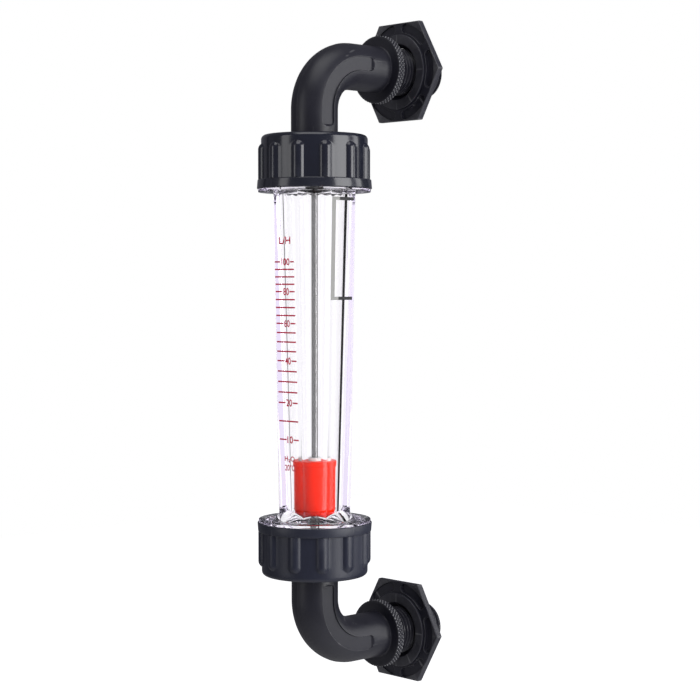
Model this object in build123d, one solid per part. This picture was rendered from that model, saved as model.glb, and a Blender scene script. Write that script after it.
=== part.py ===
# Panel-mounted tube rotameter: a clear tapered metering tube with a float on a guide rod,
# held between two elbows by union nuts. Each elbow ends in a threaded spigot with a panel nut.
# Units are millimetres. The pieces are drawn about the tube's axis, with z = 0 midway
# between the two ports, and are then moved so that the origin lies in the panel's plane.
# +Z is up, -Y faces the reader of the scale, +Y points through the panel.

import os
from math import sqrt

from build123d import *

# Driving dimensions of the whole meter
port_spacing = 249.0  # between the axes of the two ports
running_gap = 0.25  # radial, between a nut and what it runs along
seat_gap = 0.02  # radial, between pieces that are pushed together

# Elbows: 20 mm pipe with a knurled collar and a G 1/2 spigot
pipe_radius = 10.0
pipe_bore_radius = 7.5
bend_radius = 20.0
collar_front = 36.2  # distance of the collar's front face from the tube's axis
collar_thickness = 3.3
collar_radius = 14.87
collar_edge = 0.3
spigot_radius = 10.4775
spigot_length = 28.5
spigot_chamfer = 1.0
flange_thickness = 4.6
flange_side_gap = 0.55  # radial, so that the flange passes the union nut's thread
funnel_radius = 12.4
funnel_depth = 7.0
pad_width = 5.9
pad_offset = 0.65  # how far the pad's middle lies outside the bend's centreline
pad_depth = 0.95  # below the crown of the pipe
pad_drop = 7.0  # how far the pad runs down the upright leg from the bend
pad_reach = 5.5  # how far it runs along the level leg
pad_corner = 1.8

# Union nuts: G 1 1/4, ribbed
union_thread_radius = 20.955
union_thread_depth = 1.48  # from crest to root
nut_mouth_height = 71.0  # distance of the nut's mouth from mid-height
nut_height = 22.9
nut_end_wall = 3.0
nut_radius = 22.7  # outside, between the ribs
nut_rim_radius = 24.5
nut_rim_height = 4.0
nut_rim_draft = 0.25
nut_shoulder_round = 2.0
nut_edge = 0.4
rib_count = 12
rib_width = 5.4
rib_proud = 1.6
rib_top_gap = 3.8  # from the rib's arched end to the closed end of the nut
lower_nut_turn = -4.0  # degrees: where tightening left the lower nut

# Metering tube
facet_count = 8
facet_radius_upper = 16.95  # to the flat, under the upper flare
facet_radius_lower = 14.7
facet_edge_round = 0.8
tube_turn = 3.0  # degrees: where tightening left the tube's flats
flare_height = 3.8
flare_foot_upper = 18.6
flare_foot_lower = 17.1
mouth_flange_radius = 24.0  # of the flanges that close the nuts' mouths
mouth_flange_thickness = 1.3
mouth_flange_edge = 0.25
tube_chamfer = 0.8
bore_radius_upper = 13.75
bore_radius_lower = 8.9
bore_flare_height = 6.0
bore_flare_radius = 12.8
holder_seat_radius = 15.0

# Rod holders, seals and float stops
holder_thickness = 3.0
holder_ring_width = 2.5
holder_arm_count = 3
holder_arm_width = 2.2
hub_radius = 3.9
upper_hub_length = 12.7
lower_hub_length = 9.0
rod_radius = 2.0
rod_end_gap = 2.2  # from the rod's end to the outer face of its holder
bumper_length = 4.0
seal_width = 2.4
seal_thickness = 2.0
seal_groove_gap = 0.1  # radial, each side of the seal
seal_radius = 16.75  # middle of the seal
clip_radius = 3.3
clip_thickness = 1.2
clip_gap = 2.4
clip_groove_depth = 0.3

# Float
float_radius = 7.6
float_lip_radius = 8.25
float_lip_height = 2.2
float_height = 22.4
float_drop = 1.2  # from the narrow end of the bore down to the resting float's lower end
float_edge_round = 2.2
float_recess_radius = 5.0
float_recess_depth = 3.4
bush_radius = 4.0
bush_proud = 1.4
bush_running_gap = 0.07

# Panel nuts
panel_nut_width = 43.2  # across the flats
panel_nut_thickness = 3.0
panel_nut_boss_height = 1.0
panel_nut_boss_radius = 16.5
panel_nut_gap = 9.5  # from the panel's plane to the nut's boss as the photograph shows it
panel_nut_chamfer = 1.6
panel_nut_edge = 0.35
pocket_width = 3.9
pocket_wall = 0.9  # between the boss and a pocket
pocket_half_angle = 18.0
pocket_depth = 1.2

# Sizes that follow from the ones above
port_height = port_spacing / 2
bend_height = port_height - bend_radius
panel_y = collar_front + collar_thickness
nut_top = nut_mouth_height + nut_height
nut_shoulder = nut_top - nut_end_wall
flange_face = nut_shoulder - flange_thickness
flange_radius = union_thread_radius - union_thread_depth - flange_side_gap
nut_bore_radius = union_thread_radius + running_gap
nut_hole_radius = pipe_radius + running_gap
mouth_flange_outer = nut_mouth_height - seat_gap
mouth_flange_inner = mouth_flange_outer - mouth_flange_thickness
flare_top = mouth_flange_inner - flare_height
holder_seat = flange_face - holder_thickness
rod_end = flange_face - rod_end_gap
bumper_top = flange_face - upper_hub_length
float_bottom = -flare_top - float_drop
float_top = float_bottom + float_height
bush_bottom = float_bottom + float_recess_depth
panel_nut_front = panel_y + panel_nut_gap


def ring_solid(outline):
    """A solid turned about the Z axis from its (radius, height) outline."""
    profile = make_face(Polyline([(r, 0, z) for r, z in outline], close=True))
    return revolve(profile, axis=Axis.Z)


def rod_between(radius, low, high):
    """An upright cylinder between two heights."""
    return Pos(0, 0, low) * extrude(Circle(radius), high - low)


def port_plane(y):
    """The plane across the upper port at a distance from the tube's axis, facing +Y."""
    return Plane(origin=(0, y, port_height), x_dir=(1, 0, 0), z_dir=(0, 1, 0))


def port_cylinder(radius, near, far):
    """A level cylinder along the upper port's axis."""
    return extrude(port_plane(near) * Circle(radius), far - near)


def lower_copy(part):
    """The mirror image of an upper piece, for the lower end of the meter."""
    return mirror(part, about=Plane.XY)


def bent_pipe(radius):
    """The quarter bend between the upright leg and the level leg."""
    start = Pos(0, 0, bend_height) * Circle(radius)
    bend_axis = Axis((0, bend_radius, bend_height), (-1, 0, 0))
    return revolve(start, axis=bend_axis, revolution_arc=90)


def pad_outline():
    """The kidney-shaped recess on the side of the bend, drawn about the bend's centre."""
    outer = bend_radius + pad_offset + pad_width / 2
    inner = outer - pad_width
    face = make_face(
        [
            Line((-outer, -pad_drop), (-outer, 0)),
            CenterArc((0, 0), outer, 90, 90),
            Line((0, outer), (pad_reach, outer)),
            Line((pad_reach, outer), (pad_reach, inner)),
            Line((pad_reach, inner), (0, inner)),
            CenterArc((0, 0), inner, 90, 90),
            Line((-inner, 0), (-inner, -pad_drop)),
            Line((-inner, -pad_drop), (-outer, -pad_drop)),
        ]
    )
    ends = face.vertices().sort_by(Axis.X)[-2:] + face.vertices().sort_by(Axis.Y)[:2]
    return fillet(ends, pad_corner)


def pad_recess(side):
    """The flat-bottomed recess on the +X or -X side of the bend."""
    floor = side * (pipe_radius - pad_depth)
    plane = Plane(
        origin=(floor, bend_radius, bend_height), x_dir=(0, 1, 0), z_dir=(1, 0, 0)
    )
    return extrude(plane * pad_outline(), side * 2 * pad_depth)


def upper_elbow():
    """One moulding: flange with its seal groove, bent pipe, collar and threaded spigot."""
    groove_half = seal_width / 2 + seal_groove_gap
    flange = ring_solid(
        [
            (0, flange_face),
            (seal_radius - groove_half, flange_face),
            (seal_radius - groove_half, flange_face + seal_thickness),
            (seal_radius + groove_half, flange_face + seal_thickness),
            (seal_radius + groove_half, flange_face),
            (flange_radius, flange_face),
            (flange_radius, nut_shoulder),
            (pipe_radius, nut_shoulder),
            (0, nut_shoulder),
        ]
    )
    collar = chamfer(
        port_cylinder(collar_radius, collar_front, panel_y)
        .edges()
        .filter_by(GeomType.CIRCLE),
        collar_edge,
    )
    spigot_end = panel_y + spigot_length
    spigot = chamfer(
        port_cylinder(spigot_radius, panel_y, spigot_end)
        .edges()
        .filter_by(GeomType.CIRCLE)
        .sort_by(Axis.Y)[-1:],
        spigot_chamfer,
    )
    body = (
        flange
        + rod_between(pipe_radius, nut_shoulder, bend_height)
        + bent_pipe(pipe_radius)
        + port_cylinder(pipe_radius, bend_radius, collar_front)
        + collar
        + spigot
    )
    funnel = ring_solid(
        [
            (0, flange_face),
            (funnel_radius, flange_face),
            (pipe_bore_radius, flange_face + funnel_depth),
            (0, flange_face + funnel_depth),
        ]
    )
    waterway = (
        funnel
        + rod_between(pipe_bore_radius, flange_face + funnel_depth, bend_height)
        + bent_pipe(pipe_bore_radius)
        + port_cylinder(pipe_bore_radius, bend_radius, spigot_end)
    )
    return body - waterway - pad_recess(1) - pad_recess(-1)


def union_nut(turn):
    """Upper union nut, with half-round ribs that end in an arch below the shoulder."""
    mouth = nut_mouth_height
    rim_top = mouth + nut_rim_height
    rim_inner = nut_rim_radius - nut_rim_draft
    outside = ring_solid(
        [
            (0, mouth),
            (nut_rim_radius - nut_edge, mouth),
            (nut_rim_radius, mouth + nut_edge),
            (rim_inner, rim_top),
            (nut_radius, rim_top),
            (nut_radius, nut_top),
            (0, nut_top),
        ]
    )
    shoulder_edge = outside.edges().filter_by(GeomType.CIRCLE).group_by(Axis.Z)[-1]
    outside = fillet(shoulder_edge, nut_shoulder_round)
    # The rib's round comes from its width and how far it stands proud
    rib_round = (rib_width**2 / 4 + rib_proud**2) / (2 * rib_proud)
    rib_centre = nut_radius + rib_proud - rib_round
    arch = sqrt(rib_round**2 - (nut_radius - rib_centre) ** 2)
    rib_end = nut_top - rib_top_gap - arch
    rib = rod_between(rib_round, rim_top - nut_edge, rib_end)
    rib += Pos(0, 0, rib_end) * Sphere(rib_round)
    ribs = [
        Rot(0, 0, turn + i * 360 / rib_count) * Pos(rib_centre, 0, 0) * rib
        for i in range(rib_count)
    ]
    hollow = ring_solid(
        [
            (0, mouth),
            (nut_bore_radius + tube_chamfer, mouth),
            (nut_bore_radius, mouth + tube_chamfer),
            (nut_bore_radius, nut_shoulder),
            (nut_hole_radius, nut_shoulder),
            (nut_hole_radius, nut_top - nut_edge),
            (nut_hole_radius + nut_edge, nut_top),
            (0, nut_top),
        ]
    )
    return outside + ribs - hollow


def metering_tube():
    """Clear tube, eight-sided outside and conical inside, with a flange and thread at each end."""
    turn = tube_turn + 180 / facet_count
    lower_octagon = RegularPolygon(
        facet_radius_lower, facet_count, major_radius=False, rotation=turn
    )
    upper_octagon = RegularPolygon(
        facet_radius_upper, facet_count, major_radius=False, rotation=turn
    )
    body = loft(
        [
            Pos(0, 0, -mouth_flange_inner) * lower_octagon,
            Pos(0, 0, mouth_flange_inner) * upper_octagon,
        ]
    )
    flat_faces = body.faces().filter_by(Axis.Z)
    end_edges = flat_faces[0].edges() + flat_faces[1].edges()
    sides = [e for e in body.edges() if all(not e.is_same(other) for other in end_edges)]
    body = fillet(sides, facet_edge_round)
    ends = []
    for side, facet, foot in (
        (1, facet_radius_upper, flare_foot_upper),
        (-1, facet_radius_lower, flare_foot_lower),
    ):
        outline = [
            (0, side * flare_top),
            (facet - facet_edge_round, side * flare_top),
            (foot, side * mouth_flange_inner),
            (mouth_flange_radius - mouth_flange_edge, side * mouth_flange_inner),
            (mouth_flange_radius, side * (mouth_flange_inner + mouth_flange_edge)),
            (mouth_flange_radius, side * (mouth_flange_outer - mouth_flange_edge)),
            (mouth_flange_radius - mouth_flange_edge, side * mouth_flange_outer),
            (union_thread_radius, side * mouth_flange_outer),
            (union_thread_radius, side * (flange_face - tube_chamfer)),
            (union_thread_radius - tube_chamfer, side * flange_face),
            (0, side * flange_face),
        ]
        ends.append(ring_solid(outline))
    bore = ring_solid(
        [
            (0, -flange_face),
            (holder_seat_radius, -flange_face),
            (holder_seat_radius, -holder_seat),
            (bore_flare_radius, -holder_seat),
            (bore_flare_radius, -flare_top - bore_flare_height),
            (bore_radius_lower, -flare_top),
            (bore_radius_upper, holder_seat),
            (holder_seat_radius, holder_seat),
            (holder_seat_radius, flange_face),
            (0, flange_face),
        ]
    )
    return body + ends - bore


def rod_holder(hub_length):
    """Upper rod holder: a ring, its arms and the hub that takes the rod's end."""
    hub_end = flange_face - hub_length
    ring_outer = holder_seat_radius - running_gap / 2
    ring_inner = ring_outer - holder_ring_width
    ring = rod_between(ring_outer, holder_seat, flange_face)
    ring -= rod_between(ring_inner, holder_seat, flange_face)
    reach = ring_inner + holder_ring_width / 2
    arm = Box(
        reach, holder_arm_width, holder_thickness, align=(Align.MIN, Align.CENTER, Align.MIN)
    )
    arms = [
        Rot(0, 0, 90 + i * 360 / holder_arm_count) * Pos(0, 0, holder_seat) * arm
        for i in range(holder_arm_count)
    ]
    hub = rod_between(hub_radius, hub_end, flange_face)
    hub = chamfer(hub.edges().filter_by(GeomType.CIRCLE), nut_edge)
    socket = rod_between(rod_radius + seat_gap, hub_end, rod_end)
    return ring + arms + hub - socket


def guide_rod():
    """Plain rod with the groove for the float's stop clip."""
    groove_radius = rod_radius - clip_groove_depth
    groove_top = bush_bottom + seat_gap
    groove_bottom = bush_bottom - clip_thickness - seat_gap
    return ring_solid(
        [
            (0, -rod_end),
            (rod_radius, -rod_end),
            (rod_radius, groove_bottom),
            (groove_radius, groove_bottom),
            (groove_radius, groove_top),
            (rod_radius, groove_top),
            (rod_radius, rod_end),
            (0, rod_end),
        ]
    )


def stop_clip():
    """Open ring in the rod's groove, which the float's bush rests on."""
    inner = rod_radius - clip_groove_depth + seat_gap
    low = bush_bottom - clip_thickness
    clip = rod_between(clip_radius, low, bush_bottom) - rod_between(inner, low, bush_bottom)
    opening = Pos(0, clip_radius, low) * Box(
        clip_gap, 2 * clip_radius, clip_thickness, align=(Align.CENTER, Align.CENTER, Align.MIN)
    )
    return clip - opening


def tube_seal():
    """Upper seal, squeezed between the elbow's groove and the end of the tube."""
    section = Rectangle(seal_width, seal_thickness)
    section = fillet(section.vertices(), 0.35 * seal_thickness)
    middle = flange_face + seal_thickness / 2
    plane = Plane(origin=(seal_radius, 0, middle), x_dir=(1, 0, 0), z_dir=(0, -1, 0))
    return revolve(plane * section, axis=Axis.Z)


def float_body():
    """Cylindrical float with a metering lip at its top and a recess under it."""
    lip_bottom = float_top - float_lip_height
    bore = bush_radius + seat_gap
    body = ring_solid(
        [
            (bore, bush_bottom),
            (float_recess_radius, bush_bottom),
            (float_recess_radius, float_bottom),
            (float_radius, float_bottom),
            (float_radius, lip_bottom),
            (float_lip_radius, lip_bottom),
            (float_lip_radius, float_top),
            (bore, float_top),
        ]
    )
    outer_edges = body.edges().filter_by(GeomType.CIRCLE).group_by(Axis.Z)[0]
    return fillet(outer_edges.sort_by(SortBy.RADIUS)[-1:], float_edge_round)


def guide_bush():
    """Low-friction sleeve that carries the float on the rod."""
    return ring_solid(
        [
            (rod_radius + bush_running_gap, bush_bottom),
            (bush_radius, bush_bottom),
            (bush_radius, float_top + bush_proud),
            (rod_radius + bush_running_gap, float_top + bush_proud),
        ]
    )


def upper_bumper():
    """Rubber sleeve on the rod that stops the float at the top."""
    low = bumper_top - bumper_length
    sleeve = rod_between(hub_radius, low, bumper_top)
    return sleeve - rod_between(rod_radius + seat_gap, low, bumper_top)


def panel_nut():
    """Flat hexagon nut with a raised boss and six kidney-shaped pockets."""
    plate_front = panel_nut_front + panel_nut_boss_height
    back = plate_front + panel_nut_thickness
    hexagon = RegularPolygon(panel_nut_width / 2, 6, major_radius=False)
    plate = extrude(port_plane(plate_front) * hexagon, panel_nut_thickness)
    plate = chamfer(plate.faces().filter_by(Axis.Y).edges(), panel_nut_edge)
    boss = port_cylinder(panel_nut_boss_radius, panel_nut_front, plate_front)
    bore = port_cylinder(spigot_radius + running_gap, panel_nut_front, back)
    pocket_radius = panel_nut_boss_radius + pocket_wall + pocket_width / 2
    arc = CenterArc((0, 0), pocket_radius, -pocket_half_angle, 2 * pocket_half_angle)
    pocket = SlotArc(arc, pocket_width)
    pockets = [
        extrude(port_plane(plate_front) * Rot(0, 0, i * 60) * pocket, pocket_depth)
        for i in range(6)
    ]
    nut = plate + boss - bore - pockets
    mouths = nut.edges().filter_by(GeomType.CIRCLE)
    mouths = [e for e in mouths if abs(e.radius - spigot_radius - running_gap) < 1e-4]
    return chamfer(mouths, panel_nut_chamfer)


def build():
    """Every node of the meter, by name, about the tube's axis."""
    elbow = upper_elbow()
    nut = panel_nut()
    seal = tube_seal()
    return {
        "metering_tube": metering_tube(),
        "guide_rod": guide_rod(),
        "float_body": float_body(),
        "float_guide_bush": guide_bush(),
        "float_stop_clip": stop_clip(),
        "float_bumper": upper_bumper(),
        "upper_rod_holder": rod_holder(upper_hub_length),
        "lower_rod_holder": lower_copy(rod_holder(lower_hub_length)),
        "upper_tube_seal": seal,
        "lower_tube_seal": lower_copy(seal),
        "upper_union_nut": union_nut(0.0),
        "lower_union_nut": lower_copy(union_nut(lower_nut_turn)),
        "upper_elbow": elbow,
        "lower_elbow": lower_copy(elbow),
        "upper_panel_nut": nut,
        "lower_panel_nut": lower_copy(nut),
    }


os.makedirs("parts", exist_ok=True)
for name, part in build().items():
    export_step(Pos(0, -panel_y, 0) * part, f"parts/{name}.step")
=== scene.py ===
# Panel-mounted tube rotameter: finished pieces, their materials and a plain studio.
# Units are metres. +Z is up, -Y faces the reader of the scale, +Y points through the panel.
# Pieces are drawn about the tube's axis, and the frame's axis offset is added at the end.
from math import atan2, cos, floor, hypot, pi, radians, sin, sqrt, tau

import bmesh
import bpy
from mathutils import Matrix, Vector


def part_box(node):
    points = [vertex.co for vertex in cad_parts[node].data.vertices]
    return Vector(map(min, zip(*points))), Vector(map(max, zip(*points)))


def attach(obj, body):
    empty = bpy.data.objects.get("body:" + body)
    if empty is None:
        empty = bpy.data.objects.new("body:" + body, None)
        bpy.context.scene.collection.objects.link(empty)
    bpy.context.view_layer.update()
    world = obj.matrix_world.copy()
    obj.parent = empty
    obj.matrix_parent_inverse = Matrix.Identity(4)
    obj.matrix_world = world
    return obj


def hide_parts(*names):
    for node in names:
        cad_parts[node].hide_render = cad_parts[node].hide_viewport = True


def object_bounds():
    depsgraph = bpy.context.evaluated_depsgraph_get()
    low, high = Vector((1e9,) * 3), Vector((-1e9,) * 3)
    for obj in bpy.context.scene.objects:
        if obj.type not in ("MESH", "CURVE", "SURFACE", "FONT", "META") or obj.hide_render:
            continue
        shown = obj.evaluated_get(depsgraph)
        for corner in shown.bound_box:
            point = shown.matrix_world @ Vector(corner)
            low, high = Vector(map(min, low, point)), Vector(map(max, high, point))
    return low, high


bl_info = {
    "name": "Panel Rotameter",
    "version": (1, 0, 0),
    "blender": (4, 5, 0),
    "location": "3D View > Sidebar > Rotameter",
    "description": "Builds a panel-mounted tube rotameter around its solid model",
    "category": "Add Mesh",
}

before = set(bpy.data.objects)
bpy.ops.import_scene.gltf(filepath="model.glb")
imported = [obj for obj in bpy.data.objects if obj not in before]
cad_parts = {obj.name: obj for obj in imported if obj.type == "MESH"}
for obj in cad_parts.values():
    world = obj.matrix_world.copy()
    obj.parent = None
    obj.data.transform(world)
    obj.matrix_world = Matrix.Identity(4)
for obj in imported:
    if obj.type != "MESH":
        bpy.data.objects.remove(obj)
cad_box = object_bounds()

MM = 0.001
MERGE = 1e-7
WHITE = (1.0, 1.0, 1.0, 1.0)
SEAT_GAP = 0.02 * MM
# Widths over which a sunk wall or a fillet runs, and the rings beyond a pocket's two sides
PAD_WALL = 0.16 * MM
POCKET_WALL = 0.22 * MM
POCKET_INSIDE = 0.3 * MM
POCKET_OUTSIDE = 0.15 * MM
RIB_FILLET = 0.25 * MM
FLARE_FILLET = 0.15 * MM

# Places that the solid model fixes
rod_low, rod_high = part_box("guide_rod")
AXIS_OFFSET = Vector(((rod_low.x + rod_high.x) / 2, (rod_low.y + rod_high.y) / 2, 0.0))
ELBOW_LOW, ELBOW_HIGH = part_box("upper_elbow")
NUT_LOW, NUT_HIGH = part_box("upper_union_nut")
PANEL_NUT_LOW, PANEL_NUT_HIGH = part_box("upper_panel_nut")
BUSH_LOW, BUSH_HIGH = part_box("float_guide_bush")
FLOAT_LOW, FLOAT_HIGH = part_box("float_body")
PORT_HEIGHT = (PANEL_NUT_LOW.z + PANEL_NUT_HIGH.z) / 2
FLANGE_FACE = ELBOW_LOW.z
FLIP = Matrix.Rotation(pi, 4, "Y")
ENDS = (("upper", False), ("lower", True))


def length(name, millimetres, description):
    """A distance property whose default is given in millimetres."""
    return bpy.props.FloatProperty(
        name=name, description=description, default=millimetres * MM,
        subtype="DISTANCE", unit="LENGTH", precision=5,
    )


def angle(name, degrees, description):
    """An angle property whose default is given in degrees."""
    return bpy.props.FloatProperty(
        name=name, description=description, default=radians(degrees),
        subtype="ANGLE", unit="ROTATION",
    )


def count(name, default, description):
    """A whole number of like features."""
    return bpy.props.IntProperty(name=name, description=description, default=default, min=1)


def colour(name, default, description):
    """A linear colour."""
    return bpy.props.FloatVectorProperty(
        name=name, description=description, default=default,
        size=3, min=0.0, max=1.0, subtype="COLOR",
    )


class ElbowSizes(bpy.types.PropertyGroup):
    """Elbow moulding with its flange, collar and spigot"""

    pipe_radius: length("Pipe radius", 10.0, "Outside radius of the bent pipe")
    bore_radius: length("Waterway radius", 7.5, "Inside radius of the bent pipe")
    bend_radius: length("Bend radius", 20.0, "Radius of the bend's centreline")
    flange_radius: length("Flange radius", 18.925, "Outside radius of the flange inside the nut")
    flange_thickness: length("Flange thickness", 4.6, "Thickness of the flange")
    funnel_radius: length("Funnel radius", 12.4, "Radius of the waterway's mouth")
    funnel_depth: length("Funnel depth", 7.0, "Depth of the waterway's mouth")
    seal_radius: length("Seal radius", 16.75, "Middle of the seal's groove")
    seal_width: length("Groove width", 2.6, "Width of the seal's groove")
    seal_depth: length("Groove depth", 2.0, "Depth of the seal's groove")
    collar_front: length("Collar distance", 36.2, "From the tube's axis to the collar's face")
    collar_thickness: length("Collar thickness", 3.3, "Thickness of the knurled collar")
    collar_radius: length("Collar radius", 14.87, "Radius over the knurl")
    collar_edge: length("Collar edge", 0.3, "Chamfer at the collar's rim")
    collar_root: length("Collar fillet", 0.5, "Fillet where the pipe meets the collar")
    knurl_count: count("Knurl count", 56, "Diamonds round the collar")
    knurl_depth: length("Knurl depth", 0.6, "Depth of the diamond knurl")
    thread_radius: length("Spigot radius", 10.4775, "Crest radius of the spigot's thread")
    thread_depth: length("Spigot thread depth", 1.0, "Depth of the spigot's thread")
    thread_pitch: length("Spigot pitch", 1.814, "Pitch of the spigot's thread")
    spigot_chamfer: length("Spigot chamfer", 1.0, "Chamfer at the spigot's end")
    pad_low: length("Pad inner edge", -2.3, "Pad's inner edge, from the pipe's centreline")
    pad_high: length("Pad outer edge", 3.6, "Pad's outer edge, from the pipe's centreline")
    pad_depth: length("Pad depth", 0.95, "Depth of the pad below the pipe's crown")
    pad_drop: length("Pad drop", 7.0, "How far the pad runs down the upright leg")
    pad_reach: length("Pad reach", 5.5, "How far the pad runs along the level leg")
    pad_corner: length("Pad corner", 1.8, "Corner radius of the pad")
    seam_height: length("Parting line height", 0.07, "Height of the moulding's parting line")
    tint: colour("Elbow colour", (0.015, 0.015, 0.023), "Satin dark grey plastic")
    # The crest colour is a painted highlight on the knurl's crests
    crest_tint: colour("Crest highlight colour", (0.40, 0.40, 0.42), "Painted highlight on the knurl's crests")


class UnionNutSizes(bpy.types.PropertyGroup):
    """Ribbed union nut"""

    radius: length("Nut radius", 22.7, "Outside radius between the ribs")
    rim_radius: length("Rim radius", 24.5, "Radius of the band at the mouth")
    rim_height: length("Rim height", 4.0, "Height of the band at the mouth")
    rim_draft: length("Rim draft", 0.25, "Taper of the band over its height")
    edge: length("Edge round", 0.4, "Round on the rim's edges")
    shoulder_round: length("Shoulder round", 2.0, "Round of the closed end")
    end_wall: length("End wall", 3.0, "Thickness of the closed end")
    hole_radius: length("Hole radius", 10.25, "Hole for the elbow's pipe")
    bore_radius: length("Bore radius", 21.205, "Crest radius of the inside thread")
    thread_depth: length("Thread depth", 0.7, "Depth of the inside thread")
    thread_pitch: length("Union pitch", 2.309, "Pitch of the union's thread")
    mouth_chamfer: length("Mouth chamfer", 0.8, "Chamfer of the thread's mouth")
    rib_count: count("Rib count", 12, "Ribs round the nut")
    rib_width: length("Rib width", 5.4, "Width of a rib at its foot")
    rib_proud: length("Rib height", 1.6, "How far a rib stands proud")
    rib_top_gap: length("Rib end gap", 3.8, "From a rib's arched end to the closed end")
    lower_turn: angle("Lower nut turn", -4.0, "Where tightening left the lower nut")
    tint: colour("Nut colour", (0.011, 0.0125, 0.023), "Glossy dark plastic")


class PanelNutSizes(bpy.types.PropertyGroup):
    """Flat hexagon panel nut"""

    boss_radius: length("Boss radius", 16.5, "Radius of the raised boss")
    boss_height: length("Boss height", 1.0, "Height of the raised boss")
    thread_gap: length("Thread gap", 0.25, "Radial gap between the nut's and the spigot's thread")
    bore_chamfer: length("Bore chamfer", 1.6, "Chamfer at both ends of the thread")
    edge: length("Edge", 0.35, "Round on the hexagon's edges")
    pocket_radius: length("Pocket radius", 19.35, "Middle of the pockets")
    pocket_width: length("Pocket width", 3.9, "Width of a pocket")
    pocket_depth: length("Pocket depth", 1.2, "Depth of a pocket")
    pocket_half_angle: angle("Pocket half angle", 18.0, "Half of the arc that a pocket spans")
    tint: colour("Panel nut colour", (0.018, 0.018, 0.028), "Satin dark plastic")


class TubeSizes(bpy.types.PropertyGroup):
    """Clear metering tube"""

    flat_upper: length("Upper flat", 17.2, "Axis to the printed flats at the upper flange")
    flat_lower: length("Lower flat", 14.05, "Axis to the printed flats at the lower flange")
    diagonal_upper: length("Upper diagonal", 17.3, "Axis to the flats between, at the top")
    diagonal_lower: length("Lower diagonal", 15.05, "Axis to the flats between, at the bottom")
    facet_round: length("Corner round", 0.8, "Round on the eight corners")
    turn: angle("Tube turn", 3.0, "Where tightening left the tube's flats")
    flange_radius: length("Flange radius", 24.0, "Radius of the flanges at the nuts' mouths")
    flange_thickness: length("Flange thickness", 1.3, "Thickness of a flange")
    flange_gap: length("Flange gap", 0.02, "From a flange to the nut's mouth")
    flange_edge: length("Flange edge", 0.25, "Round on a flange's rim")
    flare_upper: length("Upper flare height", 1.6, "Height of the flare under the upper flange")
    flare_lower: length("Lower flare height", 5.0, "Height of the flare over the lower flange")
    foot_upper: length("Upper flare", 18.6, "Radius of the upper flare at its flange")
    foot_lower: length("Lower flare", 17.1, "Radius of the lower flare at its flange")
    thread_radius: length("Collar radius", 20.955, "Crest radius of the collars' thread")
    thread_depth: length("Collar thread depth", 1.4, "Depth of the collars' thread")
    thread_pitch: length("Collar pitch", 2.309, "Pitch of the collars' thread")
    chamfer: length("Collar chamfer", 0.8, "Chamfer at a collar's end")
    bore_upper: length("Upper bore", 13.75, "Bore radius at its upper end")
    bore_lower: length("Lower bore", 8.9, "Bore radius at its lower end")
    taper_low: length("Taper's lower end", -65.88, "Height at which the bore's taper ends")
    bore_flare_radius: length("Bore flare", 12.8, "Bore radius under the taper")
    bore_flare_height: length("Bore flare height", 6.0, "Height of the flare under the taper")
    seat_radius: length("Seat radius", 15.0, "Radius of a rod holder's seat")
    seat_depth: length("Seat depth", 3.0, "Depth of a rod holder's seat")
    tint: colour("Acrylic colour", (0.91, 0.85, 1.0), "Faint lilac of the clear acrylic")


class FloatSizes(bpy.types.PropertyGroup):
    """Float, its guide bush and the rod it runs on"""

    radius: length("Float radius", 7.6, "Radius of the float's body")
    lip_height: length("Lip height", 2.2, "Height of the metering lip")
    lip_radius: length("Lip radius", 8.25, "Radius of the metering lip")
    foot_round: length("Foot round", 2.2, "Round of the float's lower edge")
    recess_radius: length("Recess radius", 5.0, "Radius of the recess under the float")
    bush_radius: length("Bush radius", 4.0, "Outside radius of the guide bush")
    bush_bore: length("Bush bore", 2.07, "Bore radius of the guide bush")
    rod_radius: length("Rod radius", 2.0, "Radius of the guide rod")
    groove_depth: length("Groove depth", 0.3, "Depth of the stop clip's groove")
    groove_width: length("Groove width", 1.24, "Width of the stop clip's groove")
    edge: length("Small edge", 0.2, "Round on small edges")
    tint: colour("Float colour", (1.0, 0.018, 0.0), "Orange-red plastic")
    bush_tint: colour("Bush colour", (0.80, 0.80, 0.78), "White low-friction plastic")
    rod_tint: colour("Rod colour", (0.22, 0.22, 0.22), "Drawn stainless steel")


class PrintSizes(bpy.types.PropertyGroup):
    """Scale and label on the tube's flats"""

    lift: length("Print lift", 0.03, "How far the print stands off the flat")
    thickness: length("Print thickness", 0.03, "Thickness of the print")
    mark_width: length("Mark width", 11.5, "Width of the scale's marks")
    mark_line: length("Mark line", 0.62, "Thickness of the scale's marks")
    mark_left: length("Marks' left end", 6.6, "From the flat's middle to the marks' left end")
    mark_lean: bpy.props.FloatProperty(
        name="Mark lean", description="Lean of the scale towards the flat's edge", default=0.0147
    )
    number_gap: length("Number gap", 0.4, "Clear space beside a number")
    number_height: length("Number height", 3.1, "Height of the numbers")
    digit_width: length("Digit width", 1.7, "Width of a digit")
    text_shift: length("Number shift", 0.6, "From the middle of the marks to the numbers'")
    unit_height: length("Unit height", 3.2, "Height of the unit's letters")
    unit_width: length("Unit width", 6.8, "Width of the unit's letters")
    note_height: length("Note height", 2.7, "Height of the fluid note's letters")
    note_width: length("Note width", 6.0, "Width of the fluid note's lines")
    label_top: length("Label top", 67.2, "Upper edge of the label")
    label_bottom: length("Label bottom", 24.0, "Lower edge of the label")
    label_near: length("Label near edge", -6.7, "Edge of the label nearer the scale")
    label_far: length("Label far edge", 6.2, "Edge of the label nearer the panel")
    border: length("Label border", 2.3, "Width of the label's side border")
    bar: length("Label bar", 1.4, "Width of the label's end bars")
    ink: colour("Scale ink", (0.92, 0.012, 0.07), "Crimson ink")
    bar_ink: colour("Label bar ink", (0.01, 0.01, 0.012), "Black ink")
    border_ink: colour("Label border ink", (0.30, 0.30, 0.29), "Grey ink")


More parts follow.
